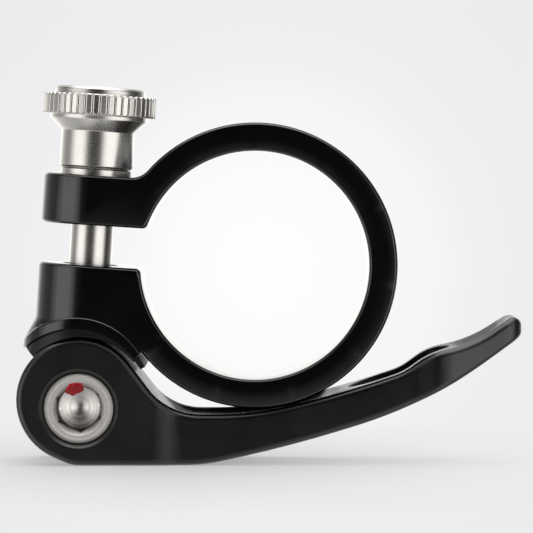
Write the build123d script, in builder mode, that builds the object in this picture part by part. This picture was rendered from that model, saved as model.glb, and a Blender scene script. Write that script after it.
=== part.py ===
from build123d import *
from math import cos, hypot, radians, sin, sqrt, tan
import os

# Quick-release seatpost clamp, in millimetres.
# The origin is the centre of the seat-tube bore, +Y runs back along the bore and +Z is up.
# It stands on the belly of its closed lever, so the collar leans by stance_tilt.

# Collar: split ring with two ears
bore_diameter = 31.9
ring_wall = 3.95
collar_depth = 14.5
stance_tilt = 3.6
slit_width = 5.65
slit_rise = 1.33
upper_ear_height = 6.95
stud_stand_off = 3.4
collar_edge = 0.4
ear_root_radius = 3.0
slit_corner_radius = 0.7

# Saddle lip below the lower ear, around the pad
lip_rise = 1.35
lip_growth = 0.16
lip_proud = 0.3
lip_edge = 0.25
saddle_nose_angle = 47.5
saddle_heel_angle = 48.9
saddle_seat_shift = -0.57
saddle_seat_rise = 0.78
nose_overhang = 1.53
nose_flare_drop = 7.2
nose_flare_height = 4.4
nose_flare_sections = 6
nose_flare_inset = 0.05

# Cam pad
pad_crown_thickness = 1.05
pad_inner_shift = 0.255
pad_inner_rise = 0.48
pad_toe_sweep = 10.5
pad_toe_height = 0.6
cam_to_pad_gap = 0.3
cam_to_toe_gap = 0.4

# Lever
lever_width = collar_depth
lever_edge_radius = 0.9
cam_radius = 8.74
cam_throw = 1.1
pivot_below_ring = 1.57
ring_to_lever_gap = 0.3
belly_below_pivot = 8.04
belly_end = -10.0
heel_angle = 246.0
heel_radius = 5.0
neck_angle = 37.0
neck_radius = 9.0
arm_rise_angle = 13.0
arm_rise_radius = 45.0
arm_top_radius = 150.0
arm_top_sweep = 6.0
step_foot_radius = 8.4
step_foot_sweep = 17.0
step_length = 1.2
step_head_radius = 10.0
step_head_sweep = 25.0
dish_radius = 18.0
dish_sweep = 22.0
tip_length = 5.15
tip_slant = 0.1
tip_top_radius = 1.25
tip_sole_radius = 1.3
tip_corner_radius = 3.0
paddle_taper_length = 11.0
paddle_taper_angle = 14.0
paddle_taper_radius = 12.0
sole_bend_radius = 26.0
sole_bend_sweep = 12.0
sole_arch_radius = 198.0
sole_arch_sweep = 5.8
sole_lift_radius = 66.0
sole_lift_sweep = 17.0
pocket_length = 15.4
pocket_width = 9.0
pocket_depth = 2.5
pocket_slope = 23.5
pocket_before_step = 2.0
pocket_edge = 0.2

# Pivot barrel
barrel_diameter = 9.7
barrel_recess = 0.2
barrel_edge = 0.3
barrel_clearance = 0.05
bore_mouth_edge = 0.65
socket_across_flats = 6.0
socket_depth = 2.7
socket_mouth_diameter = 7.6
socket_turn = 35.0
drill_point_angle = 140.0

# Stud
stud_diameter = 6.0
stud_end_edge = 0.5
stud_end_inset = 0.15
stud_hole_clearance = 0.4
stud_mouth_edge = 0.6
stud_slot_clearance = 0.3
nut_thread_clearance = 0.05

# Dished washer
washer_width = 2.0
washer_rim_height = 0.75
washer_rim_width = 0.2

# Thumb nut
nose_sphere_radius = 12.0
nose_seat_gap = 0.05
nut_barrel_wall = 2.175
nut_nose_edge = 0.45
nut_barrel_height = 4.95
nut_flare_height = 1.65
nut_flange_inset = 1.15
nut_flange_height = 0.55
knurl_diameter = 16.1
knurl_height = 2.9
knurl_teeth = 48
knurl_depth = 0.45
knurl_edge = 0.45
nut_boss_inset = 1.65
nut_boss_height = 1.05
nut_boss_edge = 0.35
nut_mouth_edge = 0.7
stud_end_below_boss = 0.6

# Radii and levels worked out from the sizes above
bore_radius = bore_diameter / 2
ring_radius = bore_radius + ring_wall
ear_round = collar_depth / 2
stud_radius = stud_diameter / 2
stud_offset = ring_radius + stud_stand_off
slit_top = slit_rise + slit_width / 2
slit_bottom = slit_rise - slit_width / 2
upper_ear_top = slit_top + upper_ear_height
pivot_level = -(ring_radius + pivot_below_ring)

# The collar's own front plane leans with it; along is across the ears, up is along the stud
lean = radians(stance_tilt)
along = Vector(cos(lean), 0, -sin(lean))
up = Vector(sin(lean), 0, cos(lean))
front = Vector(0, -1, 0)
collar_front = Plane(origin=(0, 0, 0), x_dir=along, z_dir=front)
stud_foot = along * -stud_offset
stud_front = Plane(origin=stud_foot, x_dir=along, z_dir=front)
stud_plan = Plane(origin=stud_foot, x_dir=along, z_dir=up)
stud_axis = Axis(stud_foot, up)
pivot = stud_foot + up * pivot_level
pivot_front = Plane(origin=pivot, x_dir=(1, 0, 0), z_dir=front)

# Pad and saddle circles, in the collar's front plane
pivot_flat = Vector(-stud_offset, pivot_level)
cam_crown = cam_throw + cam_radius
pad_inner_crown = cam_crown + cam_to_pad_gap
pad_inner_radius = pad_inner_crown - pad_inner_rise
pad_inner_centre = pivot_flat + Vector(pad_inner_shift, pad_inner_rise)
seat_radius = pad_inner_crown + pad_crown_thickness - saddle_seat_rise
seat_centre = pivot_flat + Vector(saddle_seat_shift, saddle_seat_rise)
lip_radius = seat_radius + lip_growth
lip_centre = seat_centre + Vector(0, lip_rise)
stud_hole_radius = stud_radius + stud_hole_clearance


def from_seat(angle_right_of_up, distance):
    angle = radians(angle_right_of_up)
    return seat_centre + Vector(sin(angle), cos(angle)) * distance


def nearest(items, point):
    return items.sort_by_distance(point)[0]


def is_off_saddle(edge):
    middle = collar_front.to_local_coords(edge @ 0.5)
    return hypot(middle.X - seat_centre.X, middle.Y - seat_centre.Y) > lip_radius + lip_rise


def is_ear_rim(edge):
    return abs(edge.radius - ear_round) < collar_edge / 10


def is_stud_mouth(edge):
    middle = stud_plan.to_local_coords(edge.arc_center)
    off_axis = hypot(middle.X, middle.Y)
    return max(off_axis, abs(edge.radius - stud_hole_radius)) < stud_mouth_edge / 10


os.makedirs("parts", exist_ok=True)

# Collar: ring, ears and saddle lip in one piece
ear_end = -stud_offset - ear_round
inside_bore = -bore_radius / 2
heel_run = (inside_bore - seat_centre.X) / sin(radians(saddle_heel_angle))
nose_run = (seat_centre.X - ear_end) / sin(radians(saddle_nose_angle))
saddle_right = from_seat(saddle_heel_angle, heel_run)
saddle_left = from_seat(-saddle_nose_angle, nose_run)
ear_root = (-sqrt(ring_radius**2 - upper_ear_top**2), upper_ear_top)
slit_corners = [(-sqrt(bore_radius**2 - level**2), level) for level in (slit_top, slit_bottom)]
whole_length = stud_offset + ear_round + ring_radius
lip_half_depth = collar_depth / 2 + lip_proud
nose_centre = lip_half_depth - ear_round - nose_overhang
lip_far = 2 * lip_radius

# Saddle lip: an arc a little proud of the ear's faces, round at its nose
with BuildPart() as saddle_lip:
    with BuildSketch(collar_front):
        with Locations(lip_centre):
            Circle(lip_radius)
        with BuildLine():
            Polyline(seat_centre, from_seat(saddle_heel_angle, lip_far), from_seat(0, lip_far),
                     from_seat(-saddle_nose_angle, lip_far), close=True)
        make_face(mode=Mode.INTERSECT)
        with Locations(seat_centre):
            Circle(seat_radius, mode=Mode.SUBTRACT)
    extrude(amount=lip_half_depth, both=True)
    chamfer(saddle_lip.faces().filter_by(Axis.Y).edges(), lip_edge)
    with BuildSketch(stud_plan):
        with Locations((nose_centre, 0)):
            Circle(lip_half_depth)
        with Locations((nose_centre + whole_length / 2, 0)):
            Rectangle(whole_length, 2 * lip_half_depth)
    extrude(amount=whole_length, both=True, mode=Mode.INTERSECT)

# Flare: the lower ear swells out to the lip's nose
with BuildPart() as nose_flare:
    for section in range(nose_flare_sections):
        share = section / (nose_flare_sections - 1)
        swell = nose_overhang * share**2 * (3 - 2 * share)
        level = slit_bottom - nose_flare_drop - nose_flare_height * share
        with BuildSketch(stud_plan.offset(level)):
            with Locations((-swell, 0)):
                Circle(ear_round - nose_flare_inset)
    loft()
    with BuildSketch(collar_front):
        with Locations(seat_centre):
            Circle(seat_radius + lip_rise / 2)
    extrude(amount=collar_depth, both=True, mode=Mode.SUBTRACT)

with BuildPart() as collar:
    with BuildSketch(collar_front) as collar_outline:
        Circle(ring_radius)
        with BuildLine():
            Polyline(
                (ear_end, slit_top),
                (ear_end, upper_ear_top),
                (inside_bore, upper_ear_top),
                (inside_bore, slit_top),
                close=True,
            )
        make_face()
        with BuildLine():
            Polyline((ear_end, slit_bottom), (inside_bore, slit_bottom), saddle_right, seat_centre,
                     saddle_left, close=True)
        make_face()
        with Locations(seat_centre):
            Circle(seat_radius, mode=Mode.SUBTRACT)
        Circle(bore_radius, mode=Mode.SUBTRACT)
        with Locations((-ring_radius, slit_rise)):
            Rectangle(3 * ring_wall, slit_width, mode=Mode.SUBTRACT)
        fillet(nearest(collar_outline.vertices(), ear_root), ear_root_radius)
        for corner in slit_corners:
            fillet(nearest(collar_outline.vertices(), corner), slit_corner_radius)
    extrude(amount=collar_depth / 2, both=True)
    # Both ears end in a half round about the stud
    with BuildSketch(stud_plan):
        Circle(ear_round)
        with Locations((whole_length / 2, 0)):
            Rectangle(whole_length, collar_depth)
    extrude(amount=whole_length, both=True, mode=Mode.INTERSECT)
    rims = collar.faces().filter_by(Axis.Y).edges().filter_by(stud_axis, reverse=True)
    ear_rims = collar.edges().filter_by(GeomType.CIRCLE).filter_by(is_ear_rim)
    chamfer((rims + ear_rims).filter_by(is_off_saddle), collar_edge)
    add(saddle_lip.part)
    add(nose_flare.part)
    # Stud hole through both ears
    with BuildSketch(stud_plan):
        Circle(stud_hole_radius)
    extrude(amount=whole_length, both=True, mode=Mode.SUBTRACT)
    hole_mouths = collar.edges().filter_by(GeomType.CIRCLE).filter_by(is_stud_mouth)
    chamfer(hole_mouths, stud_mouth_edge)
collar.part.label = "collar"
export_step(collar.part, "parts/collar.step")

# Cam pad: an arc that lines the saddle, with a toe hooked behind the saddle's inner end
toe_angle = saddle_heel_angle + pad_toe_sweep
with BuildPart() as cam_pad:
    with BuildSketch(collar_front):
        with Locations(seat_centre):
            Circle(seat_radius)
        with BuildLine():
            Polyline(seat_centre, from_seat(saddle_heel_angle, lip_far), from_seat(0, lip_far),
                     from_seat(-saddle_nose_angle, lip_far), close=True)
        make_face(mode=Mode.INTERSECT)
        with Locations(pad_inner_centre):
            Circle(pad_inner_radius, mode=Mode.SUBTRACT)
    extrude(amount=collar_depth / 2, both=True)
    with BuildSketch(collar_front):
        with Locations(seat_centre):
            Circle(seat_radius + pad_toe_height)
        with BuildLine():
            Polyline(seat_centre, from_seat(saddle_heel_angle, lip_far), from_seat(toe_angle, lip_far),
                     close=True)
        make_face(mode=Mode.INTERSECT)
        with Locations(pivot_flat):
            Circle(cam_crown + cam_to_toe_gap, mode=Mode.SUBTRACT)
    extrude(amount=collar_depth / 2, both=True)
    with BuildSketch(stud_plan):
        with Locations((nose_centre, 0)):
            Circle(ear_round)
        with Locations((nose_centre + whole_length / 2, 0)):
            Rectangle(whole_length, collar_depth)
        Circle(stud_hole_radius, mode=Mode.SUBTRACT)
    extrude(amount=whole_length, both=True, mode=Mode.INTERSECT)
cam_pad.part.label = "cam_pad"
export_step(cam_pad.part, "parts/cam_pad.step")

# Lever: cam head, arm with a pocket, finger paddle
cam_centre = Vector(pivot.X, pivot.Z + cam_throw)
belly_level = pivot.Z - belly_below_pivot
arm_slope = radians(arm_rise_angle)
ring_clear = ring_radius + ring_to_lever_gap
under_ring = Vector(ring_clear * sin(arm_slope), -ring_clear * cos(arm_slope))
under_ring_way = Vector(cos(arm_slope), sin(arm_slope))
neck_slope = radians(90 - neck_angle)
heel_slope = radians(heel_angle - 180)
slot_half_width = stud_radius + stud_slot_clearance
head_reach = cam_crown + belly_below_pivot
lever_bore_radius = barrel_diameter / 2 + barrel_clearance
pocket_lean = radians(pocket_slope)
pocket_way = Vector(cos(pocket_lean), 0, sin(pocket_lean))
pocket_out = Vector(-sin(pocket_lean), 0, cos(pocket_lean))


def is_bore_mouth(edge):
    on_face = abs(abs(edge.center().Y) - lever_width / 2) < bore_mouth_edge / 10
    return on_face and abs(edge.radius - lever_bore_radius) < bore_mouth_edge / 10


def is_pocket_rim(edge):
    above_floor = (edge @ 0.5 - floor_middle).dot(pocket_out)
    return above_floor > pocket_depth / 4 and abs((edge % 0.5).dot(pocket_out)) < cos(pocket_lean)


with BuildPart() as lever:
    with BuildSketch(Plane.XZ) as lever_outline:
        with BuildLine():
            head = CenterArc(cam_centre, cam_radius, neck_angle, heel_angle - neck_angle)
            heel_drop = (head @ 1).Y - belly_level
            heel = Line(head @ 1, (head @ 1) + Vector(heel_drop * tan(heel_slope), -heel_drop))
            belly = Line(heel @ 1, (belly_end, belly_level))
            sole_bend = JernArc(belly @ 1, belly % 1, sole_bend_radius, sole_bend_sweep)
            sole_arch = JernArc(sole_bend @ 1, sole_bend % 1, sole_arch_radius, sole_arch_sweep)
            sole_lift = JernArc(sole_arch @ 1, sole_arch % 1, sole_lift_radius, sole_lift_sweep)
            arm_top = JernArc(under_ring, under_ring_way, arm_top_radius, arm_top_sweep)
            step_foot = JernArc(arm_top @ 1, arm_top % 1, step_foot_radius, step_foot_sweep)
            step = Line(step_foot @ 1, (step_foot @ 1) + (step_foot % 1) * step_length)
            step_head = JernArc(step @ 1, step % 1, step_head_radius, -step_head_sweep)
            dish = JernArc(step_head @ 1, step_head % 1, dish_radius, dish_sweep)
            tip_top = Line(dish @ 1, (dish @ 1) + (dish % 1) * tip_length)
            sole_way = sole_lift % 1
            sole_run = ((tip_top @ 1).X + tip_slant - (sole_lift @ 1).X) / sole_way.X
            sole_end = Line(sole_lift @ 1, (sole_lift @ 1) + sole_way * sole_run)
            tip = Line(sole_end @ 1, tip_top @ 1)
            arm_rise = JernArc(under_ring, -under_ring_way, arm_rise_radius, -arm_rise_angle)
            neck_drop = (head @ 0).Y - (arm_rise @ 1).Y
            neck_run = neck_drop / tan(neck_slope)
            neck = Line(head @ 0, (head @ 0) + Vector(neck_run, -neck_drop))
            Line(neck @ 1, arm_rise @ 1)
        make_face()
        tip_reach = (tip @ 0).X
        lever_length = tip_reach - pivot.X + head_reach
        step_middle = Vector((step @ 0.5).X, 0, (step @ 0.5).Y)
        fillet(nearest(lever_outline.vertices(), heel @ 1), heel_radius)
        fillet(nearest(lever_outline.vertices(), neck @ 1), neck_radius)
        fillet(nearest(lever_outline.vertices(), tip @ 0), tip_sole_radius)
        fillet(nearest(lever_outline.vertices(), tip @ 1), tip_top_radius)
    extrude(amount=lever_width / 2, both=True)
    # In plan the paddle draws in towards its tip, with round corners
    taper_start = tip_reach - paddle_taper_length
    taper_inset = paddle_taper_length * tan(radians(paddle_taper_angle))
    with BuildSketch(Plane.XY) as lever_plan:
        with BuildLine():
            near_side = Line((tip_reach - lever_length, -lever_width / 2), (taper_start, -lever_width / 2))
            near_taper = Line(near_side @ 1, (tip_reach, taper_inset - lever_width / 2))
            mirror(about=Plane.XZ)
            Line(near_taper @ 1, ((near_taper @ 1).X, -(near_taper @ 1).Y))
            Line(near_side @ 0, ((near_side @ 0).X, -(near_side @ 0).Y))
        make_face()
        fillet(lever_plan.vertices().group_by(Axis.X)[1], paddle_taper_radius)
        fillet(lever_plan.vertices().group_by(Axis.X)[-1], tip_corner_radius)
    extrude(amount=lever_length, both=True, mode=Mode.INTERSECT)
    rims = lever.edges().filter_by(Axis.Y, reverse=True).filter_by(Axis.Z, reverse=True)
    fillet(rims, lever_edge_radius)
    # Slot for the stud, open over the whole swing
    with BuildSketch(stud_front):
        with Locations((slot_half_width - head_reach, pivot_level)):
            Rectangle(2 * head_reach, 2 * head_reach + cam_radius)
    extrude(amount=slot_half_width, both=True, mode=Mode.SUBTRACT)
    # Bore for the barrel, with chamfered mouths
    with BuildSketch(pivot_front):
        Circle(lever_bore_radius)
    extrude(amount=lever_width, both=True, mode=Mode.SUBTRACT)
    bore_mouths = lever.edges().filter_by(GeomType.CIRCLE).filter_by(is_bore_mouth)
    chamfer(bore_mouths, bore_mouth_edge)
    # Blind pocket with round ends, across the step in the arm's upper face
    floor_middle = step_middle - pocket_way * pocket_before_step - pocket_out * pocket_depth
    with BuildSketch(Plane(origin=floor_middle, x_dir=pocket_way, z_dir=pocket_out)):
        SlotOverall(pocket_length, pocket_width)
    extrude(amount=lever_width, mode=Mode.SUBTRACT)
    chamfer(lever.edges(Select.LAST).filter_by(is_pocket_rim), pocket_edge)
lever.part.label = "lever"
export_step(lever.part, "parts/lever.step")

# Pivot barrel: cross pin with a hexagon socket in front and a tapped cross hole for the stud
barrel_half = lever_width / 2 - barrel_recess
socket_face = Plane(origin=pivot + front * barrel_half, x_dir=(1, 0, 0), z_dir=front)
socket_radius = socket_across_flats / 2
socket_mouth_radius = socket_mouth_diameter / 2
drill_point = socket_radius / tan(radians(drill_point_angle / 2))
with BuildPart() as pivot_barrel:
    with BuildSketch(pivot_front):
        Circle(barrel_diameter / 2)
    extrude(amount=barrel_half, both=True)
    chamfer(pivot_barrel.edges().filter_by(GeomType.CIRCLE), barrel_edge)
    with BuildSketch(socket_face):
        RegularPolygon(socket_radius, 6, major_radius=False, rotation=socket_turn)
    extrude(amount=-socket_depth, mode=Mode.SUBTRACT)
    # Mouth and drill point of the socket, turned about the pivot
    with BuildSketch(Plane(origin=socket_face.origin, x_dir=(1, 0, 0), z_dir=(0, 0, 1))):
        with BuildLine():
            Polyline((0, 0), (socket_mouth_radius, 0), (0, socket_mouth_radius), close=True)
        make_face()
        with BuildLine():
            Polyline((0, 0), (socket_radius, 0), (socket_radius, socket_depth),
                     (0, socket_depth + drill_point), close=True)
        make_face()
    revolve(axis=Axis(pivot, front), mode=Mode.SUBTRACT)
    with BuildSketch(stud_plan):
        Circle(stud_radius)
    extrude(amount=-whole_length, mode=Mode.SUBTRACT)
pivot_barrel.part.label = "pivot_barrel"
export_step(pivot_barrel.part, "parts/pivot_barrel.step")

# Stud: from the barrel up into the nut
washer_bottom = upper_ear_top
nut_barrel_radius = stud_radius + nut_barrel_wall
nose_rim_radius = nut_barrel_radius - nut_nose_edge
nose_rim_level = washer_bottom + washer_rim_height + nose_seat_gap
nut_barrel_top = nose_rim_level + nut_nose_edge + nut_barrel_height
nut_flare_top = nut_barrel_top + nut_flare_height
nut_flange_top = nut_flare_top + nut_flange_height
knurl_top = nut_flange_top + knurl_height
nut_top = knurl_top + nut_boss_height
stud_top = nut_top - stud_end_below_boss
stud_end_reach = barrel_diameter / 2 - stud_end_inset
stud_bottom = pivot_level - sqrt(stud_end_reach**2 - (stud_radius - stud_end_edge) ** 2)
with BuildPart() as stud:
    with BuildSketch(stud_plan.offset(stud_bottom)):
        Circle(stud_radius)
    extrude(amount=stud_top - stud_bottom)
    chamfer(stud.edges().filter_by(GeomType.CIRCLE), stud_end_edge)
stud.part.label = "stud"
export_step(stud.part, "parts/stud.step")

# Dished washer under the nut's nose, on the upper ear
sphere_level = nose_rim_level + sqrt(nose_sphere_radius**2 - nose_rim_radius**2)


def nose_level(radius, gap=0.0):
    return sphere_level - sqrt((nose_sphere_radius + gap) ** 2 - radius**2)


washer_radius = stud_radius + washer_width
washer_hole_radius = stud_radius + stud_slot_clearance
dish_rim_radius = washer_radius - washer_rim_width
with BuildPart() as seat_washer:
    with BuildSketch(stud_front):
        with BuildLine():
            hole_foot = (washer_hole_radius, washer_bottom)
            hole_rim = (washer_hole_radius, nose_level(washer_hole_radius, nose_seat_gap))
            dish_middle_radius = (washer_hole_radius + dish_rim_radius) / 2
            dish_middle = (dish_middle_radius, nose_level(dish_middle_radius, nose_seat_gap))
            dish_rim_level = nose_level(dish_rim_radius, nose_seat_gap)
            dish_rim = (dish_rim_radius, dish_rim_level)
            ThreePointArc(hole_rim, dish_middle, dish_rim)
            Polyline(
                dish_rim,
                (washer_radius, dish_rim_level),
                (washer_radius, washer_bottom),
                hole_foot,
                hole_rim,
            )
        make_face()
    revolve(axis=stud_axis)
seat_washer.part.label = "seat_washer"
export_step(seat_washer.part, "parts/seat_washer.step")

# Thumb nut: spherical nose, barrel, flange, knurled rim and boss
nut_bore_radius = stud_radius + nut_thread_clearance
knurl_radius = knurl_diameter / 2
flange_radius = knurl_radius - nut_flange_inset
boss_radius = knurl_radius - nut_boss_inset


def is_knurl_edge(edge):
    return abs(edge.radius - knurl_radius) < knurl_edge / 10


def is_boss_edge(edge):
    return abs(edge.radius - boss_radius) < nut_boss_edge / 10


with BuildPart() as thumb_nut:
    with BuildSketch(stud_front):
        with BuildLine():
            nose_start = (nut_bore_radius, nose_level(nut_bore_radius))
            nose_end = (nose_rim_radius, nose_rim_level)
            nose_middle = (nut_bore_radius + nose_rim_radius) / 2
            ThreePointArc(nose_start, (nose_middle, nose_level(nose_middle)), nose_end)
            Polyline(
                nose_end,
                (nut_barrel_radius, nose_rim_level + nut_nose_edge),
                (nut_barrel_radius, nut_barrel_top),
                (flange_radius, nut_flare_top),
                (flange_radius, nut_flange_top),
                (knurl_radius, nut_flange_top),
                (knurl_radius, knurl_top),
                (boss_radius, knurl_top),
                (boss_radius, nut_top),
                (nut_bore_radius + nut_mouth_edge, nut_top),
                (nut_bore_radius, nut_top - nut_mouth_edge),
                nose_start,
            )
        make_face()
    revolve(axis=stud_axis)
    knurl_rims = thumb_nut.edges().filter_by(GeomType.CIRCLE).filter_by(is_knurl_edge)
    chamfer(knurl_rims, knurl_edge)
    boss_rims = thumb_nut.edges().filter_by(GeomType.CIRCLE).filter_by(is_boss_edge)
    chamfer(boss_rims.sort_by(stud_axis)[-1], nut_boss_edge)
    # Straight knurl: one V-groove for each tooth
    with BuildSketch(stud_plan.offset(nut_flange_top)):
        with PolarLocations(knurl_radius, knurl_teeth):
            RegularPolygon(knurl_depth, 4)
    extrude(amount=knurl_height, mode=Mode.SUBTRACT)
thumb_nut.part.label = "thumb_nut"
export_step(thumb_nut.part, "parts/thumb_nut.step")
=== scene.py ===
import bmesh
import bpy
import math
from mathutils import Matrix, Vector


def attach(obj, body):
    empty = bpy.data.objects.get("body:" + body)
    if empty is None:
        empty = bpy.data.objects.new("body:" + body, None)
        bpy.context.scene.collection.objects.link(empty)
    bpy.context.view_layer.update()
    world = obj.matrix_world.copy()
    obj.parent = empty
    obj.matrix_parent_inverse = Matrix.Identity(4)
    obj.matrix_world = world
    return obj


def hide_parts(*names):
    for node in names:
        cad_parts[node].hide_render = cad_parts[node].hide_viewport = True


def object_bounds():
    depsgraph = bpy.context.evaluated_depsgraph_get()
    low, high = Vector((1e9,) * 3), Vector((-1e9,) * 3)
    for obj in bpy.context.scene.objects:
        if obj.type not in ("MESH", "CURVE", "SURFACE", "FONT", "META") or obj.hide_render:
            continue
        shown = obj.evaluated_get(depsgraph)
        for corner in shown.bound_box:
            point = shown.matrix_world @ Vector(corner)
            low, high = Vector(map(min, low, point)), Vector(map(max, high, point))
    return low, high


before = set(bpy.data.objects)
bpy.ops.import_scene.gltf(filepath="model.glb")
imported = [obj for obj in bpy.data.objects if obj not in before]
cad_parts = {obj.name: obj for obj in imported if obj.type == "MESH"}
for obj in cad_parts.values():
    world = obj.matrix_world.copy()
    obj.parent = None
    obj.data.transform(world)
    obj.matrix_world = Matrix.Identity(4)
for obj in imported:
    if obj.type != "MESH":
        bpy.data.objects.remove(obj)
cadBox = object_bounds()
print("frame loaded:", ", ".join(sorted(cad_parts)))

mm = 0.001
weld, fineWeld = 2e-6, 1e-6     # corners closer than this become one, in metres
hair = 0.01                     # room for rounding where corners are picked by place, in millimetres
flatLead = 80                   # how much the larger faces lead the shading

# where the clamp's own lines run, as in the solids
layout = {
    "lean": math.radians(3.6),  # the collar leans this much on its lever
    "studFoot": Vector((-0.02325402, 0, 0.00146302)),
    "pivot": Vector((-0.0246021, 0, -0.0199646)),
}
upright = Matrix.Rotation(-layout["lean"], 4, "Y")  # takes the lean away
leaning = upright.inverted()


def deselectAll():
    if bpy.context.object and bpy.context.object.mode != "OBJECT":
        bpy.ops.object.mode_set(mode="OBJECT")
    bpy.ops.object.select_all(action="DESELECT")


def makeActive(piece):
    deselectAll()
    piece.select_set(True)
    bpy.context.view_layer.objects.active = piece


def addObject(name, data):
    added = bpy.data.objects.new(name, data)
    bpy.context.scene.collection.objects.link(added)
    return added


def aimAt(added, target):
    added.rotation_euler = (target - added.location).to_track_quat("-Z", "Y").to_euler()


def openEdit(piece):
    makeActive(piece)
    bpy.ops.object.mode_set(mode="EDIT")
    bpy.ops.mesh.select_mode(type="VERT")


def closeEdit():
    bpy.ops.object.mode_set(mode="OBJECT")


# the next six work in edit mode
def pickAll():
    bpy.ops.mesh.select_all(action="SELECT")


def pickNone():
    bpy.ops.mesh.select_all(action="DESELECT")


def pickEdges(piece, wanted):
    # the edges whose two ends pass the test
    pickNone()
    bpy.ops.mesh.select_mode(type="EDGE")
    shape = bmesh.from_edit_mesh(piece.data)
    for edge in shape.edges:
        if wanted(*(corner.co for corner in edge.verts)):
            edge.select_set(True)
    bmesh.update_edit_mesh(piece.data)


def cutThrough(point, facing, **settings):
    pickAll()
    bpy.ops.mesh.bisect(plane_co=point, plane_no=facing, **settings)


def weldAll(gap):
    pickAll()
    bpy.ops.mesh.remove_doubles(threshold=gap)


def faceOut():
    pickAll()
    bpy.ops.mesh.normals_make_consistent(inside=False)


def applyModifier(piece, name, kind, **settings):
    makeActive(piece)
    modifier = piece.modifiers.new(name, kind)
    for key, value in settings.items():
        setattr(modifier, key, value)
    bpy.ops.object.modifier_apply(modifier=modifier.name)


def smoothPiece(piece, crisp):
    # edges sharper than crisp, in degrees, stay hard
    makeActive(piece)
    bpy.ops.object.shade_smooth_by_angle(angle=math.radians(crisp))
    applyModifier(piece, "evenShading", "WEIGHTED_NORMAL", keep_sharp=True, weight=flatLead)


def copyNode(node, name, crisp):
    # a merged copy of a solid's mesh, so that its rounds shade evenly
    piece = addObject(name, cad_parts[node].data.copy())
    piece.data.name = name
    openEdit(piece)
    bpy.ops.mesh.customdata_custom_splitnormals_clear()
    weldAll(weld)
    closeEdit()
    smoothPiece(piece, crisp)
    return piece


def turnUp(name, outline, around, hollow):
    # a turned part: a ring of points is drawn out along the outline, radius and level in millimetres
    deselectAll()
    (radius, level), *rest = outline
    bpy.ops.mesh.primitive_circle_add(vertices=around, radius=radius * mm, location=(0, 0, level * mm))
    piece = bpy.context.object
    piece.name = piece.data.name = name
    bpy.ops.object.transform_apply(location=True)
    openEdit(piece)
    pickAll()
    for nextRadius, nextLevel in rest:
        rise = (nextLevel - level) * mm
        bpy.ops.mesh.extrude_region_move(TRANSFORM_OT_translate={"value": (0, 0, rise)})
        grow = nextRadius / radius
        bpy.ops.transform.resize(value=(grow, grow, 1), center_override=(0, 0, nextLevel * mm))
        radius, level = nextRadius, nextLevel
    # the last ring of a hollow part meets its first one; a solid part has its ends filled
    weldAll(weld)
    if not hollow:
        pickNone()
        bpy.ops.mesh.select_mode(type="EDGE")
        bpy.ops.mesh.select_non_manifold()
        bpy.ops.mesh.edge_face_add()
    faceOut()
    closeEdit()
    return piece


def joinPieces(main, *others):
    makeActive(main)
    for other in others:
        other.select_set(True)
    bpy.ops.object.join()
    return main


def standOnStud(piece):
    # from upright at the origin to the stud's leaning axis
    makeActive(piece)
    piece.rotation_euler = (0, layout["lean"], 0)
    piece.location = layout["studFoot"]
    bpy.ops.object.transform_apply(location=True, rotation=True)


def settle(piece, body, slot, material, *nodes):
    piece.data.materials.clear()
    piece.data.materials.append(material)
    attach(piece, body)
    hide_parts(*nodes)


# finishes, all from nodes on each piece's own coordinates
colourMix = {"factor": 0, "first": 6, "second": 7, "result": 2}  # a colour mix node's sockets, by number


def newFinish(name):
    material = bpy.data.materials.new(name)
    material.use_nodes = True
    tree = material.node_tree
    return material, tree, tree.nodes["Principled BSDF"]


def addNode(tree, kind, **settings):
    node = tree.nodes.new(kind)
    for key, value in settings.items():
        setattr(node, key, value)
    return node


def place(tree, turn=(0, 0, 0), scale=(1, 1, 1), shift=(0, 0, 0)):
    coordinates = addNode(tree, "ShaderNodeTexCoord")
    mapping = addNode(tree, "ShaderNodeMapping")
    mapping.inputs["Rotation"].default_value = turn
    mapping.inputs["Scale"].default_value = scale
    mapping.inputs["Location"].default_value = shift
    tree.links.new(coordinates.outputs["Object"], mapping.inputs["Vector"])
    return mapping.outputs["Vector"]


def axesOf(tree, vector):
    parts = addNode(tree, "ShaderNodeSeparateXYZ")
    tree.links.new(vector, parts.inputs[0])
    return parts.outputs


def dotOf(tree, vector, way):
    dot = addNode(tree, "ShaderNodeVectorMath", operation="DOT_PRODUCT")
    dot.inputs[1].default_value = way
    tree.links.new(vector, dot.inputs[0])
    return dot.outputs["Value"]


def noiseOf(tree, vector, scale, detail, roughness=0.55):
    noise = addNode(tree, "ShaderNodeTexNoise")
    noise.inputs["Scale"].default_value = scale
    noise.inputs["Detail"].default_value = detail
    noise.inputs["Roughness"].default_value = roughness
    tree.links.new(vector, noise.inputs["Vector"])
    return noise.outputs["Fac"]


def spread(tree, value, low, high, fromLow=0.3, fromHigh=0.7):
    # a noise lies mostly between 0.3 and 0.7
    ranger = addNode(tree, "ShaderNodeMapRange")
    ranger.inputs["From Min"].default_value = fromLow
    ranger.inputs["From Max"].default_value = fromHigh
    ranger.inputs["To Min"].default_value = low
    ranger.inputs["To Max"].default_value = high
    tree.links.new(value, ranger.inputs["Value"])
    return ranger.outputs["Result"]


def reckon(tree, operation, first, second=None):
    node = addNode(tree, "ShaderNodeMath", operation=operation)
    for socket, value in zip(node.inputs, (first, second)):
        if isinstance(value, (int, float)):
            socket.default_value = value
        elif value is not None:
            tree.links.new(value, socket)
    return node.outputs["Value"]


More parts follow.
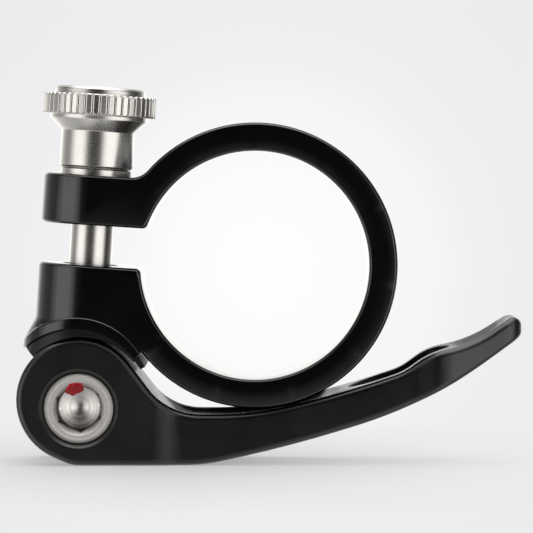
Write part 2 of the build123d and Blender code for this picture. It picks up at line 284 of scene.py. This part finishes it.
def blendColours(tree, factor, first, second):
    mixer = addNode(tree, "ShaderNodeMix", data_type="RGBA")
    for name, colour in (("first", first), ("second", second)):
        socket = mixer.inputs[colourMix[name]]
        if isinstance(colour, tuple):
            socket.default_value = (*colour, 1)
        else:
            tree.links.new(colour, socket)
    tree.links.new(factor, mixer.inputs[colourMix["factor"]])
    return mixer.outputs[colourMix["result"]]


def mixShaders(tree, factor, first, second):
    mixer = addNode(tree, "ShaderNodeMixShader")
    for socket, value in zip(mixer.inputs, (factor, first, second)):
        tree.links.new(value, socket)
    return mixer.outputs["Shader"]


def bumpOf(tree, height, strength, distance):
    bump = addNode(tree, "ShaderNodeBump")
    bump.inputs["Strength"].default_value = strength
    bump.inputs["Distance"].default_value = distance
    tree.links.new(height, bump.inputs["Height"])
    return bump.outputs["Normal"]


# noises in the finishes are given as scale and detail, bumps as strength and height in metres
anodise = {
    "deep": (0.0010, 0.0010, 0.0011), "pale": (0.0032, 0.0032, 0.0034), "gloss": 1.75,
    "grain": (9000, 2.0), "cloud": (240, 4.0), "bump": (0.10, 0.00002),
    "collar": {"roughness": (0.10, 0.15), "duller": ()},
    # stretches along the lever over which its sheen grows softer: from, to, how much rougher
    "lever": {"roughness": (0.24, 0.32), "duller": ((-0.010, -0.016, 0.04), (0.022, 0.027, 0.03))},
}


def makeAnodise(name, sheen):
    material, tree, shader = newFinish(name)
    vector = place(tree)
    grain = noiseOf(tree, vector, *anodise["grain"])
    cloud = noiseOf(tree, vector, *anodise["cloud"])
    tree.links.new(blendColours(tree, grain, anodise["deep"], anodise["pale"]), shader.inputs["Base Color"])
    dull = spread(tree, cloud, *sheen["roughness"])
    for start, end, rougher in sheen["duller"]:
        dull = reckon(tree, "ADD", dull, spread(tree, axesOf(tree, vector)["X"], 0, rougher, start, end))
    tree.links.new(dull, shader.inputs["Roughness"])
    tree.links.new(bumpOf(tree, grain, *anodise["bump"]), shader.inputs["Normal"])
    shader.inputs["IOR"].default_value = anodise["gloss"]
    return material


nickel = {
    "pale": (0.86, 0.84, 0.81), "dull": (0.74, 0.72, 0.69),
    "turning": (26000, 2.0), "cloud": (700, 4.0), "speck": (7000, 2.0), "bump": (0.14, 0.00001),
    # marks stretches the fine lines: they run round the nut, and along the stud
    "nut": {"roughness": (0.20, 0.31), "marks": (0.05, 0.05, 1)},
    "stud": {"roughness": (0.19, 0.30), "marks": (1, 1, 0.04)},
}


def makeNickel(name, sheen):
    material, tree, shader = newFinish(name)
    turn = (0, -layout["lean"], 0)
    lines = noiseOf(tree, place(tree, turn, sheen["marks"]), *nickel["turning"])
    cloud = noiseOf(tree, place(tree, turn), *nickel["cloud"])
    speck = noiseOf(tree, place(tree, turn), *nickel["speck"])
    tree.links.new(blendColours(tree, cloud, nickel["pale"], nickel["dull"]), shader.inputs["Base Color"])
    tree.links.new(spread(tree, speck, *sheen["roughness"]), shader.inputs["Roughness"])
    grain = reckon(tree, "ADD", lines, speck)
    tree.links.new(bumpOf(tree, grain, *nickel["bump"]), shader.inputs["Normal"])
    shader.inputs["Metallic"].default_value = 1.0
    return material


# depths are metres from the barrel's middle, less than 0 to the front
barrelLook = {
    "pale": (0.94, 0.92, 0.89), "dull": (0.76, 0.74, 0.71), "roughness": (0.50, 0.70),
    "rings": (3200, 2.0), "speck": (6500, 2.0), "bump": (0.5, 0.00002),
    # the socket's mouth and walls are painted a darker brown as shade, and its floor is smoother
    "socketShade": (0.10, 0.072, 0.055), "shadeShare": 0.92, "shadeFrom": (-0.0070, -0.0062),
    "shadeTo": (-0.0040, -0.0038), "wallFrom": (0.00288, 0.00298),
    "smoother": 0.26, "smootherFrom": (-0.0050, -0.0045),
    # corners of the paint fleck, in millimetres right of the pivot and above it; its edge in metres
    "fleck": ((-2.10, 2.10), (-0.99, 1.40), (0.58, 2.34), (0.58, 3.56), (-1.23, 3.56)),
    "paint": (0.62, 0.012, 0.020), "paintShade": (0.46, 0.008, 0.014),
    "ragged": (-0.00008, 0.00008), "raggedGrain": (1400, 2.0), "fleckEdge": (-0.00003, 0.00003),
}


def fleckMask(tree, vector):
    # how far a point lies inside the fleck's five sides, with a slightly ragged edge
    corners = [Vector(corner) * mm for corner in barrelLook["fleck"]]
    inside = None
    for start, end in zip(corners, corners[1:] + corners[:1]):
        side = (end - start).normalized()
        inward = Vector((-side.y, 0, side.x))
        depth = reckon(tree, "SUBTRACT", dotOf(tree, vector, inward), inward.x * start.x + inward.z * start.y)
        inside = depth if inside is None else reckon(tree, "MINIMUM", inside, depth)
    ragged = spread(tree, noiseOf(tree, vector, *barrelLook["raggedGrain"]), *barrelLook["ragged"])
    return spread(tree, reckon(tree, "ADD", inside, ragged), 0, 1, *barrelLook["fleckEdge"])


def makeBarrelSteel():
    material, tree, shader = newFinish("barrelSteel")
    vector = place(tree, shift=-layout["pivot"])
    axes = axesOf(tree, vector)
    depth = axes["Y"]
    speck = noiseOf(tree, vector, *barrelLook["speck"])
    # turning marks run round the pivot
    squares = [reckon(tree, "MULTIPLY", axes[axis], axes[axis]) for axis in ("X", "Z")]
    off = reckon(tree, "SQRT", reckon(tree, "ADD", *squares))
    rings = addNode(tree, "ShaderNodeTexNoise", noise_dimensions="1D")
    rings.inputs["Scale"].default_value, rings.inputs["Detail"].default_value = barrelLook["rings"]
    tree.links.new(off, rings.inputs["W"])
    marks = rings.outputs["Fac"]
    steel = blendColours(tree, spread(tree, speck, 0, 1), barrelLook["pale"], barrelLook["dull"])
    # painted shade: the socket's walls and mouth are mixed towards a dark brown, a band partway in
    deep = spread(tree, depth, 0, barrelLook["shadeShare"], *barrelLook["shadeFrom"])
    wall = reckon(tree, "MULTIPLY", deep, spread(tree, off, 0, 1, *barrelLook["wallFrom"]))
    shaded = reckon(tree, "MULTIPLY", wall, spread(tree, depth, 1, 0, *barrelLook["shadeTo"]))
    steel = blendColours(tree, shaded, steel, barrelLook["socketShade"])
    front = reckon(tree, "LESS_THAN", depth, 0.0)
    painted = reckon(tree, "MULTIPLY", fleckMask(tree, vector), front)
    paint = blendColours(tree, spread(tree, speck, 0, 1), barrelLook["paint"], barrelLook["paintShade"])
    tree.links.new(blendColours(tree, painted, steel, paint), shader.inputs["Base Color"])
    tree.links.new(reckon(tree, "SUBTRACT", 1.0, painted), shader.inputs["Metallic"])
    floorOnly = reckon(tree, "SUBTRACT", spread(tree, depth, 0, 1, *barrelLook["smootherFrom"]), shaded)
    smoother = reckon(tree, "MULTIPLY", floorOnly, barrelLook["smoother"])
    dull = reckon(tree, "SUBTRACT", spread(tree, marks, *barrelLook["roughness"]), smoother)
    tree.links.new(dull, shader.inputs["Roughness"])
    tree.links.new(bumpOf(tree, marks, *barrelLook["bump"]), shader.inputs["Normal"])
    return material


padLook = {
    "deep": (0.0012, 0.0012, 0.0012), "pale": (0.005, 0.005, 0.005), "mottle": (0.35, 0.65),
    "grain": (5200, 3.0, 0.7), "roughness": (0.32, 0.46), "bump": (0.15, 0.00002),
}


def makePadPlastic():
    material, tree, shader = newFinish("padPlastic")
    grain = noiseOf(tree, place(tree), *padLook["grain"])
    mottle = spread(tree, grain, 0, 1, *padLook["mottle"])
    tree.links.new(blendColours(tree, mottle, padLook["deep"], padLook["pale"]), shader.inputs["Base Color"])
    tree.links.new(spread(tree, grain, *padLook["roughness"]), shader.inputs["Roughness"])
    tree.links.new(bumpOf(tree, grain, *padLook["bump"]), shader.inputs["Normal"])
    return material


blackAnodise = makeAnodise("blackAnodise", anodise["collar"])
leverAnodise = makeAnodise("leverAnodise", anodise["lever"])
nutNickel = makeNickel("nutNickel", nickel["nut"])
studSteel = makeNickel("studSteel", nickel["stud"])
barrelSteel = makeBarrelSteel()
padPlastic = makePadPlastic()
print("finishes made")

# saddle lip, and later the pad's flange: plates that are drawn flat, edged, and laid over the saddle
saddle = {"noseAt": -24.53, "length": 11.0, "around": 128, "edgeSteps": 4, "cuts": 56, "steep": 0.05, "crisp": 40}
# seat and crest are circles in the collar's upright plane: across, level, radius; heel and nose are degrees
lip = {
    "halfDepth": 7.55, "thick": 1.5, "edge": 0.32, "heel": 48.9, "nose": 70.0,
    "seat": (-23.87, -20.69, 10.43), "crest": (-23.87, -19.34, 10.60),
    # the solid's plain lip, from proud or noseWall outwards, draws back to hidden and under the crest
    "proud": 7.27, "noseWall": 7.52, "hidden": 7.15, "under": 0.25,
}


def arcLevel(circle, across):
    # how high the circle is there; steep, in millimetres, keeps off its very side
    middle, level, radius = circle
    return level + math.sqrt(radius ** 2 - min(abs(across - middle), radius - saddle["steep"]) ** 2)


def layPlate(plan):
    deselectAll()
    bpy.ops.mesh.primitive_circle_add(vertices=saddle["around"], radius=plan["halfDepth"] * mm, fill_type="NGON",
                                      location=(saddle["noseAt"] * mm, 0, 0))
    plate = bpy.context.object
    bpy.ops.object.transform_apply(location=True)
    openEdit(plate)
    # the right half moves off, which draws the round out into a long plate
    pickNone()
    shape = bmesh.from_edit_mesh(plate.data)
    for corner in shape.verts:
        corner.select_set(corner.co.x > (saddle["noseAt"] + hair) * mm)
    bmesh.update_edit_mesh(plate.data)
    bpy.ops.transform.translate(value=(saddle["length"] * mm, 0, 0))
    bpy.ops.mesh.select_mode(type="FACE")
    pickAll()
    bpy.ops.mesh.extrude_region_move(TRANSFORM_OT_translate={"value": (0, 0, plan["thick"] * mm)})
    top = (plan["thick"] - hair) * mm
    pickEdges(plate, lambda a, b: a.z > top and b.z > top)
    bpy.ops.mesh.bevel(offset=plan["edge"] * mm, segments=saddle["edgeSteps"], affect="EDGES")
    first = saddle["noseAt"] - plan["halfDepth"]
    last = saddle["noseAt"] + saddle["length"] + plan["halfDepth"]
    for cut in range(1, saddle["cuts"]):
        at = first + (last - first) * cut / saddle["cuts"]
        cutThrough((at * mm, 0, 0), (1, 0, 0))
    closeEdit()
    for corner in plate.data.vertices:
        across = corner.co.x / mm
        seat, crest = arcLevel(plan["seat"], across), arcLevel(plan["crest"], across)
        corner.co.z = (seat + (crest - seat) * corner.co.z / (plan["thick"] * mm)) * mm
    # cut off at both ends, and leant last
    openEdit(plate)
    middle = Vector((plan["seat"][0] * mm, 0, plan["seat"][1] * mm))
    for angle, side in ((math.radians(plan["heel"]), 1), (math.radians(plan["nose"]), -1)):
        cutThrough(middle, (side * math.cos(angle), 0, -math.sin(angle)), use_fill=True, clear_outer=True)
    weldAll(weld)
    faceOut()
    closeEdit()
    plate.rotation_euler = (0, layout["lean"], 0)
    makeActive(plate)
    bpy.ops.object.transform_apply(rotation=True)
    smoothPiece(plate, saddle["crisp"])
    return plate


def sinkOldLip(piece):
    for corner in piece.data.vertices:
        flat = upright @ corner.co / mm
        past = min(0, flat.x - saddle["noseAt"])
        wide = math.hypot(past, flat.y)
        if wide < (lip["noseWall"] if past < 0 else lip["proud"]):
            continue
        share = lip["hidden"] / wide
        flat.y *= share
        flat.x += past * (share - 1)
        flat.z = min(flat.z, arcLevel(lip["crest"], flat.x) - lip["under"])
        corner.co = leaning @ (flat * mm)


collarPiece = copyNode("collar", "clampCollar", crisp=50)
sinkOldLip(collarPiece)
settle(joinPieces(collarPiece, layPlate(lip)), "collar", "black_anodised", blackAnodise, "collar")
print("collar and its saddle lip made")

# cam pad: its hollow side, an arc whose middle is given from the pivot, lies closer to the cam, most at the nose
pad = {"middle": (0.255, 0.48), "radius": 9.66, "within": 0.02, "closer": 0.10, "noseCloser": 0.16, "noseAt": 47.0}
# and its edge stands out as a flange below the lip
flange = {
    "halfDepth": 7.5, "thick": 0.9, "edge": 0.26, "heel": 47.5, "nose": 46.5,
    "seat": (-23.045, -20.99, 9.58), "crest": (-23.87, -20.69, 10.34),
}


def fitPad(piece):
    hub = upright @ layout["pivot"] / mm
    for corner in piece.data.vertices:
        flat = upright @ corner.co / mm - hub
        out = math.hypot(flat.x - pad["middle"][0], flat.z - pad["middle"][1])
        if abs(out - pad["radius"]) < pad["within"]:
            angle = math.degrees(math.atan2(-flat.x, flat.z))
            inward = pad["closer"] + pad["noseCloser"] * min(1, max(0, angle / pad["noseAt"]))
            flat *= 1 - inward / out
            flat.y /= 1 - inward / out
            corner.co = leaning @ ((flat + hub) * mm)


padPiece = copyNode("cam_pad", "camPad", crisp=40)
fitPad(padPiece)
settle(joinPieces(padPiece, layPlate(flange)), "collar", "pad_plastic", padPlastic, "cam_pad")
print("pad made")

# lever, in millimetres along it: the arm's sides stand a little behind those of the head and the paddle
lever = {
    "from": -14.4, "to": -10.2, "cuts": 16, "until": 22.0, "back": 26.0, "setBack": 0.5, "crisp": 40,
    # its top keeps a rim, and the paddle narrows by taper degrees a side
    "rim": 1.2, "taperFrom": 26.55, "taper": 14.0, "facesUp": 0.2, "cutBefore": 1, "cutAfter": 0.5,
}
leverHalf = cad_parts["lever"].dimensions.y / 2
# between the rims the top is hollow, softly in the finger rest and as a trough along the arm
hollows = {
    "fingerRest": {"from": 27.2, "full": 30.0, "fade": 33.5, "to": 36.2, "depth": 0.9, "flat": 2, "soft": 1.5,
                   "cuts": 13, "narrower": 0.0, "upright": 0.75},
    "trough": {"from": -14.5, "full": -9.0, "fade": 8.0, "to": 11.3, "depth": 1.1, "flat": 6, "soft": 1.0,
               "cuts": 17, "narrower": 0.6, "upright": 0.3},
}


def easeShare(value, low, high):
    # from 0 at low to 1 at high, slow at both ends
    share = min(1, max(0, (value - low) / (high - low)))
    return share * share * (3 - 2 * share)


def waistLever(piece):
    openEdit(piece)
    length = lever["to"] - lever["from"]
    stops = [lever["from"] + length * cut / lever["cuts"] for cut in range(lever["cuts"] + 1)]
    stops += [lever["until"] + cut for cut in range(int(lever["back"] - lever["until"]) + 1)]
    for stop in stops:
        cutThrough((stop * mm, 0, 0), (1, 0, 0))
    closeEdit()
    for corner in piece.data.vertices:
        across = corner.co.x / mm
        share = easeShare(across, lever["from"], lever["to"])
        share *= 1 - easeShare(across, lever["until"], lever["back"])
        corner.co.y *= 1 - share * lever["setBack"] * mm / leverHalf


def hollowTop(piece, hollow):
    halfWidth = leverHalf / mm - hollow["narrower"]
    start, end = hollow["from"] - lever["cutBefore"], hollow["to"] + lever["cutAfter"]
    openEdit(piece)
    bpy.ops.mesh.select_mode(type="FACE")
    for cut in range(hollow["cuts"]):
        # cuts lie closer together towards the sides
        share = math.sin(math.pi / 2 * (2 * (cut + 0.5) / hollow["cuts"] - 1))
        side = share * (halfWidth - lever["rim"])
        pickNone()
        shape = bmesh.from_edit_mesh(piece.data)
        for face in shape.faces:
            within = start < face.calc_center_median().x / mm < end
            face.select_set(within and face.normal.z > hollow["upright"])
        bmesh.update_edit_mesh(piece.data)
        bpy.ops.mesh.bisect(plane_co=(0, side * mm, 0), plane_no=(0, 1, 0))
    closeEdit()
    for corner in piece.data.vertices:
        across, side = corner.co.x / mm, abs(corner.co.y / mm)
        narrow = max(0, across - lever["taperFrom"]) * math.tan(math.radians(lever["taper"]))
        reach = halfWidth - narrow - lever["rim"]
        if corner.normal.z > lever["facesUp"] and side < reach:
            share = easeShare(across, hollow["from"], hollow["full"])
            share *= 1 - easeShare(across, hollow["fade"], hollow["to"])
            corner.co.z -= hollow["depth"] * share * (1 - (side / reach) ** hollow["flat"]) ** hollow["soft"] * mm


leverPiece = copyNode("lever", "camLever", lever["crisp"])
waistLever(leverPiece)
for hollow in hollows.values():
    hollowTop(leverPiece, hollow)
smoothPiece(leverPiece, lever["crisp"])
settle(leverPiece, "lever", "black_anodised", leverAnodise, "lever")
barrelPiece = copyNode("pivot_barrel", "crossBarrel", crisp=30)
settle(barrelPiece, "stud", "bright_steel", barrelSteel, "pivot_barrel")
washerPiece = copyNode("seat_washer", "dishedWasher", crisp=40)
settle(washerPiece, "washer", "bright_steel", nutNickel, "seat_washer")
print("lever, barrel and washer made")

# thumb nut: levels are millimetres up the stud's axis from the bore's level
nut = {
    "around": 192, "bore": 3.05, "noseRim": (4.725, 11.905), "noseStops": (3.6, 4.2), "sphere": 12.0,
    "noseEdge": 0.45, "barrel": 5.175, "barrelTop": 17.305, "flareTop": 18.955, "flange": 6.9, "flangeTop": 19.505,
    "ringRoot": 7.55, "ringInset": 0.15, "ringTop": 22.405, "boss": 6.4, "top": 23.455, "bossEdge": 0.35,
    "mouthEdge": 0.7, "soften": 0.09, "softenSteps": 3, "softenFrom": 24, "crisp": 35,
    # ribs round the ring
    "teeth": 48, "tip": 8.03, "toothFoot": 7.2, "toothWidth": 0.98, "toothEnd": 0.42, "toothEndSteps": 5,
    "toothRim": 0.2, "toothRimSteps": 3, "outward": 0.1,
}


def noseLevel(radius):
    rimRadius, rimLevel = nut["noseRim"]
    middle = rimLevel + math.sqrt(nut["sphere"] ** 2 - rimRadius ** 2)
    return middle - math.sqrt(nut["sphere"] ** 2 - radius ** 2)


def makeNutBody():
    noseStops = [nut["bore"], *nut["noseStops"], nut["noseRim"][0]]
    outline = [(radius, noseLevel(radius)) for radius in noseStops]
    outline += [
        (nut["barrel"], nut["noseRim"][1] + nut["noseEdge"]),
        (nut["barrel"], nut["barrelTop"]),
        (nut["flange"], nut["flareTop"]),
        (nut["flange"], nut["flangeTop"]),
        (nut["ringRoot"], nut["flangeTop"] + nut["ringInset"]),
        (nut["ringRoot"], nut["ringTop"] - nut["ringInset"]),
        (nut["boss"], nut["ringTop"]),
        (nut["boss"], nut["top"] - nut["bossEdge"]),
        (nut["boss"] - nut["bossEdge"], nut["top"]),
        (nut["bore"] + nut["mouthEdge"], nut["top"]),
        (nut["bore"], nut["top"] - nut["mouthEdge"]),
        outline[0],
    ]
    body = turnUp("thumbNut", outline, nut["around"], hollow=True)
    applyModifier(body, "softEdges", "BEVEL", width=nut["soften"] * mm, segments=nut["softenSteps"],
                  limit_method="ANGLE", angle_limit=math.radians(nut["softenFrom"]))
    return body


def makeNutTeeth():
    # one rounded rib, then copied round the ring
    deselectAll()
    deep = nut["tip"] - nut["toothFoot"]
    tall = nut["ringTop"] - nut["flangeTop"]
    at = ((nut["tip"] - deep / 2) * mm, 0, (nut["flangeTop"] + tall / 2) * mm)
    bpy.ops.mesh.primitive_cube_add(size=1, location=at)
    rib = bpy.context.object
    rib.scale = (deep * mm, nut["toothWidth"] * mm, tall * mm)
    bpy.ops.object.transform_apply(location=True, scale=True)
    outer = (nut["tip"] - hair) * mm
    openEdit(rib)
    pickEdges(rib, lambda a, b: abs(a.x - b.x) > nut["outward"] * mm)
    bpy.ops.mesh.bevel(offset=nut["toothEnd"] * mm, segments=nut["toothEndSteps"], affect="EDGES")
    pickEdges(rib, lambda a, b: a.x > outer and b.x > outer)
    bpy.ops.mesh.bevel(offset=nut["toothRim"] * mm, segments=nut["toothRimSteps"], affect="EDGES")
    pickAll()
    turnOf = 2 * math.pi / nut["teeth"]
    bpy.ops.mesh.spin(steps=nut["teeth"] - 1, dupli=True, angle=2 * math.pi - turnOf, center=(0, 0, 0),
                      axis=(0, 0, 1))
    closeEdit()
    return rib


thumbNut = joinPieces(makeNutBody(), makeNutTeeth())
standOnStud(thumbNut)
smoothPiece(thumbNut, nut["crisp"])
settle(thumbNut, "nut", "bright_steel", nutNickel, "thumb_nut")
print("thumb nut made")

# clamping stud: a plain shank, with a real thread where the nut runs
stud = {
    "around": 96, "radius": 3.0, "bottom": -25.45, "endEdge": 0.5, "shankTop": 8.6, "neck": 2.38, "neckTop": 9.0,
    "crest": 2.98, "root": 2.40, "pitch": 1.0, "flank": 30, "landPart": 8, "threadFoot": 8.75, "threadTop": 22.855,
    "spareTurns": 2, "steps": 48, "crisp": 35,
}


def makeShank():
    outline = [
        (stud["radius"] - stud["endEdge"], stud["bottom"]),
        (stud["radius"], stud["bottom"] + stud["endEdge"]),
        (stud["radius"], stud["shankTop"]),
        (stud["neck"], stud["neckTop"]),
    ]
    return turnUp("clampStud", outline, stud["around"], hollow=False)


def makeThread():
    # one turn's outline, wound up the stud and cut off square at both ends
    high = stud["crest"] - stud["root"]
    flank = high * math.tan(math.radians(stud["flank"]))
    land = stud["pitch"] / stud["landPart"]
    moves = [(high, flank), (0, land), (-high, flank), (0, stud["pitch"] - 2 * flank - land)]
    turns = math.ceil((stud["threadTop"] - stud["threadFoot"]) / stud["pitch"]) + stud["spareTurns"]
    deselectAll()
    start = (stud["root"] * mm, 0, (stud["threadFoot"] - stud["pitch"]) * mm)
    bpy.ops.mesh.primitive_plane_add(size=mm, location=start)
    thread = bpy.context.object
    bpy.ops.object.transform_apply(location=True)
    openEdit(thread)
    pickAll()
    bpy.ops.mesh.merge(type="CENTER")
    pickAll()
    for outward, rise in moves:
        bpy.ops.mesh.extrude_region_move(TRANSFORM_OT_translate={"value": (outward * mm, 0, rise * mm)})
    closeEdit()
    applyModifier(thread, "winding", "SCREW", axis="Z", angle=2 * math.pi, screw_offset=stud["pitch"] * mm,
                  iterations=turns, steps=stud["steps"], render_steps=stud["steps"], use_merge_vertices=True,
                  merge_threshold=fineWeld)
    openEdit(thread)
    for level, above, below in ((stud["threadFoot"], False, True), (stud["threadTop"], True, False)):
        weldAll(fineWeld)
        cutThrough((0, 0, level * mm), (0, 0, 1), use_fill=True, clear_outer=above, clear_inner=below)
    faceOut()
    closeEdit()
    # lead-in at the top end
    for corner in thread.data.vertices:
        most = (stud["radius"] - stud["endEdge"]) * mm + max(0.0, stud["threadTop"] * mm - corner.co.z)
        out = math.hypot(corner.co.x, corner.co.y)
        if out > most:
            corner.co.x *= most / out
            corner.co.y *= most / out
    return thread


clampStud = joinPieces(makeShank(), makeThread())
standOnStud(clampStud)
smoothPiece(clampStud, stud["crisp"])
settle(clampStud, "stud", "bright_steel", studSteel, "stud")
print("stud made")

# a light table: part of its tone is lit from above, less towards the right, and the rest glows from below,
# so shadows on it are faint; its tone is painted paler round the clamp as a pool of light, and it fades out round
# the clamp, between solid and gone, in metres
floorLook = {
    "middle": (0.94, 0.94, 0.948), "outer": (0.862, 0.862, 0.876), "spreads": 0.10, "span": 1.6,
    "solid": 0.042, "gone": 0.072, "lit": (0.62, 0.24), "litSpan": (-0.010, 0.030), "light": 0.94,
    "roughness": 0.9, "shine": 0.1,
}


def makeFloor():
    deselectAll()
    bpy.ops.mesh.primitive_plane_add(size=floorLook["span"], location=(0, 0, cadBox[0].z))
    floor = bpy.context.object
    floor.name = "paleFloor"
    bpy.ops.object.transform_apply(location=True)
    material, tree, shader = newFinish("paleFloor")
    shader.inputs["Roughness"].default_value = floorLook["roughness"]
    shader.inputs["Specular IOR Level"].default_value = floorLook["shine"]
    vector = place(tree)
    length = addNode(tree, "ShaderNodeVectorMath", operation="LENGTH")
    tree.links.new(vector, length.inputs[0])
    off = length.outputs["Value"]
    outward = spread(tree, off, 0, 1, 0, floorLook["spreads"])
    # painted pool of light: the tone is paler near the clamp and duller further out
    tone = blendColours(tree, outward, floorLook["middle"], floorLook["outer"])
    lit = spread(tree, axesOf(tree, vector)["X"], *floorLook["lit"], *floorLook["litSpan"])
    tree.links.new(blendColours(tree, lit, (0.0, 0.0, 0.0), tone), shader.inputs["Base Color"])
    tree.links.new(tone, shader.inputs["Emission Color"])
    glow = reckon(tree, "MULTIPLY", reckon(tree, "SUBTRACT", 1.0, lit), floorLook["light"])
    tree.links.new(glow, shader.inputs["Emission Strength"])
    clear = addNode(tree, "ShaderNodeBsdfTransparent")
    faded = spread(tree, off, 0, 1, floorLook["solid"], floorLook["gone"])
    surface = mixShaders(tree, faded, shader.outputs["BSDF"], clear.outputs["BSDF"])
    tree.links.new(surface, tree.nodes["Material Output"].inputs["Surface"])
    floor.data.materials.append(material)
    floor.visible_glossy = False


makeFloor()

surround = {
    # the glow behind the clamp, by degrees off its middle
    "glow": ((0.0, 1.0), (1.6, 0.985), (3.1, 0.93), (4.4, 0.88), (5.4, 0.858), (8.0, 0.845)),
    "glowDrop": math.radians(2), "glowTint": (0.99, 0.992, 1.005),
    # what polished faces mirror, by degrees right of the camera: a dark front, two white cards, a pale back
    "mirrored": ((-180, 0.94), (-150, 0.90), (-128, 0.34), (-108, 0.19), (-92, 0.17), (-80, 0.46), (-68, 0.82),
                 (-42, 0.84), (-33, 0.48), (-25, 0.06), (-10, 0.01), (8, 0.01), (15, 0.07), (24, 0.58), (33, 0.84),
                 (60, 0.84), (69, 0.72), (76, 0.28), (84, 0.04), (116, 0.03), (138, 0.25), (150, 0.86), (180, 0.94)),
    "mirrorTint": (1.0, 0.985, 0.965),
    # each span is of height, from -1 straight down to 1 straight up
    "cards": 1.6, "below": 0.60, "belowSpan": (-0.45, -0.05), "high": 0.42, "highSpan": (0.12, 0.34),
    "above": 2.0, "aboveSpan": (0.70, 0.95), "ground": 0.32, "groundSpan": (-0.34, -0.05),
    "room": 0.62,
}


def rampOf(tree, value, stops, low, high, tint):
    ramp = addNode(tree, "ShaderNodeValToRGB")
    ramp.color_ramp.interpolation = "EASE"
    tree.links.new(spread(tree, value, 0, 1, low, high), ramp.inputs["Fac"])
    marks = ramp.color_ramp.elements
    while len(marks) < len(stops):
        marks.new(0.5)
    for mark, (at, level) in zip(marks, stops):
        mark.position = (math.radians(at) - low) / (high - low)
        mark.color = (*(level * part for part in tint), 1)
    return ramp.outputs["Color"]


def makeSurround():
    world = bpy.data.worlds.new("paleStudio")
    bpy.context.scene.world = world
    world.use_nodes = True
    tree = world.node_tree
    tree.nodes.clear()
    way = addNode(tree, "ShaderNodeTexCoord").outputs["Generated"]
    axes = axesOf(tree, way)
    height = axes["Z"]
    # seen by the camera: pale all round, with a soft glow behind the clamp
    glowWay = (0.0, math.cos(surround["glowDrop"]), -math.sin(surround["glowDrop"]))
    offGlow = reckon(tree, "ARCCOSINE", dotOf(tree, way, glowWay))
    reach = math.radians(surround["glow"][-1][0])
    backdrop = addNode(tree, "ShaderNodeBackground")
    glow = rampOf(tree, offGlow, surround["glow"], 0, reach, surround["glowTint"])
    tree.links.new(glow, backdrop.inputs["Color"])
    # seen in polished faces: the cards, darker towards the ground and high up, with a bright soft box overhead
    ahead = reckon(tree, "MULTIPLY", axes["Y"], -1.0)
    turned = reckon(tree, "ARCTAN2", axes["X"], ahead)
    around = rampOf(tree, turned, surround["mirrored"], -math.pi, math.pi, surround["mirrorTint"])
    low = spread(tree, height, surround["below"], surround["cards"], *surround["belowSpan"])
    dim = reckon(tree, "MULTIPLY", low, spread(tree, height, 1, surround["high"], *surround["highSpan"]))
    box = spread(tree, height, 0, surround["above"], *surround["aboveSpan"])
    ground = spread(tree, height, surround["ground"], 0, *surround["groundSpan"])
    scaled = addNode(tree, "ShaderNodeVectorMath", operation="SCALE")
    tree.links.new(around, scaled.inputs[0])
    tree.links.new(dim, scaled.inputs["Scale"])
    lifted = addNode(tree, "ShaderNodeVectorMath", operation="ADD")
    tree.links.new(scaled.outputs["Vector"], lifted.inputs[0])
    tree.links.new(reckon(tree, "ADD", box, ground), lifted.inputs[1])
    studio = addNode(tree, "ShaderNodeBackground")
    tree.links.new(lifted.outputs["Vector"], studio.inputs["Color"])
    # all else is lit by an even room
    room = addNode(tree, "ShaderNodeBackground")
    room.inputs["Strength"].default_value = surround["room"]
    room.inputs["Color"].default_value = (1, 1, 1, 1)
    light = addNode(tree, "ShaderNodeLightPath").outputs
    mirrors = reckon(tree, "MAXIMUM", light["Is Glossy Ray"], light["Is Transmission Ray"])
    unseen = mixShaders(tree, mirrors, room.outputs["Background"], studio.outputs["Background"])
    seen = mixShaders(tree, light["Is Camera Ray"], unseen, backdrop.outputs["Background"])
    tree.links.new(seen, addNode(tree, "ShaderNodeOutputWorld").inputs["Surface"])


makeSurround()

overhead = {"at": (0.0, 0.04, 0.42), "size": (0.50, 0.40), "power": 0.60}
lampData = bpy.data.lights.new("overhead", "AREA")
lampData.shape = "RECTANGLE"
lampData.size, lampData.size_y = overhead["size"]
lampData.energy = overhead["power"]
lamp = addObject("overhead", lampData)
lamp.location = overhead["at"]
aimAt(lamp, Vector((0, 0, 0)))
lamp.visible_camera = False
lamp.visible_glossy = False
print("stage and lamp set")

shot = {
    "distance": 0.400, "height": math.radians(2), "target": Vector((0.00163, 0, -0.00038)),
    "lens": 190.7, "sensor": 36, "clip": (0.01, 10),
}
cameraData = bpy.data.cameras.new("shotCamera")
cameraData.lens = shot["lens"]
cameraData.sensor_width = shot["sensor"]
cameraData.clip_start, cameraData.clip_end = shot["clip"]
camera = addObject("shotCamera", cameraData)
away = Vector((0, -math.cos(shot["height"]), math.sin(shot["height"])))
camera.location = shot["target"] + shot["distance"] * away
aimAt(camera, shot["target"])
bpy.context.scene.camera = camera
bpy.context.scene.view_settings.view_transform = "Standard"
print("camera set")
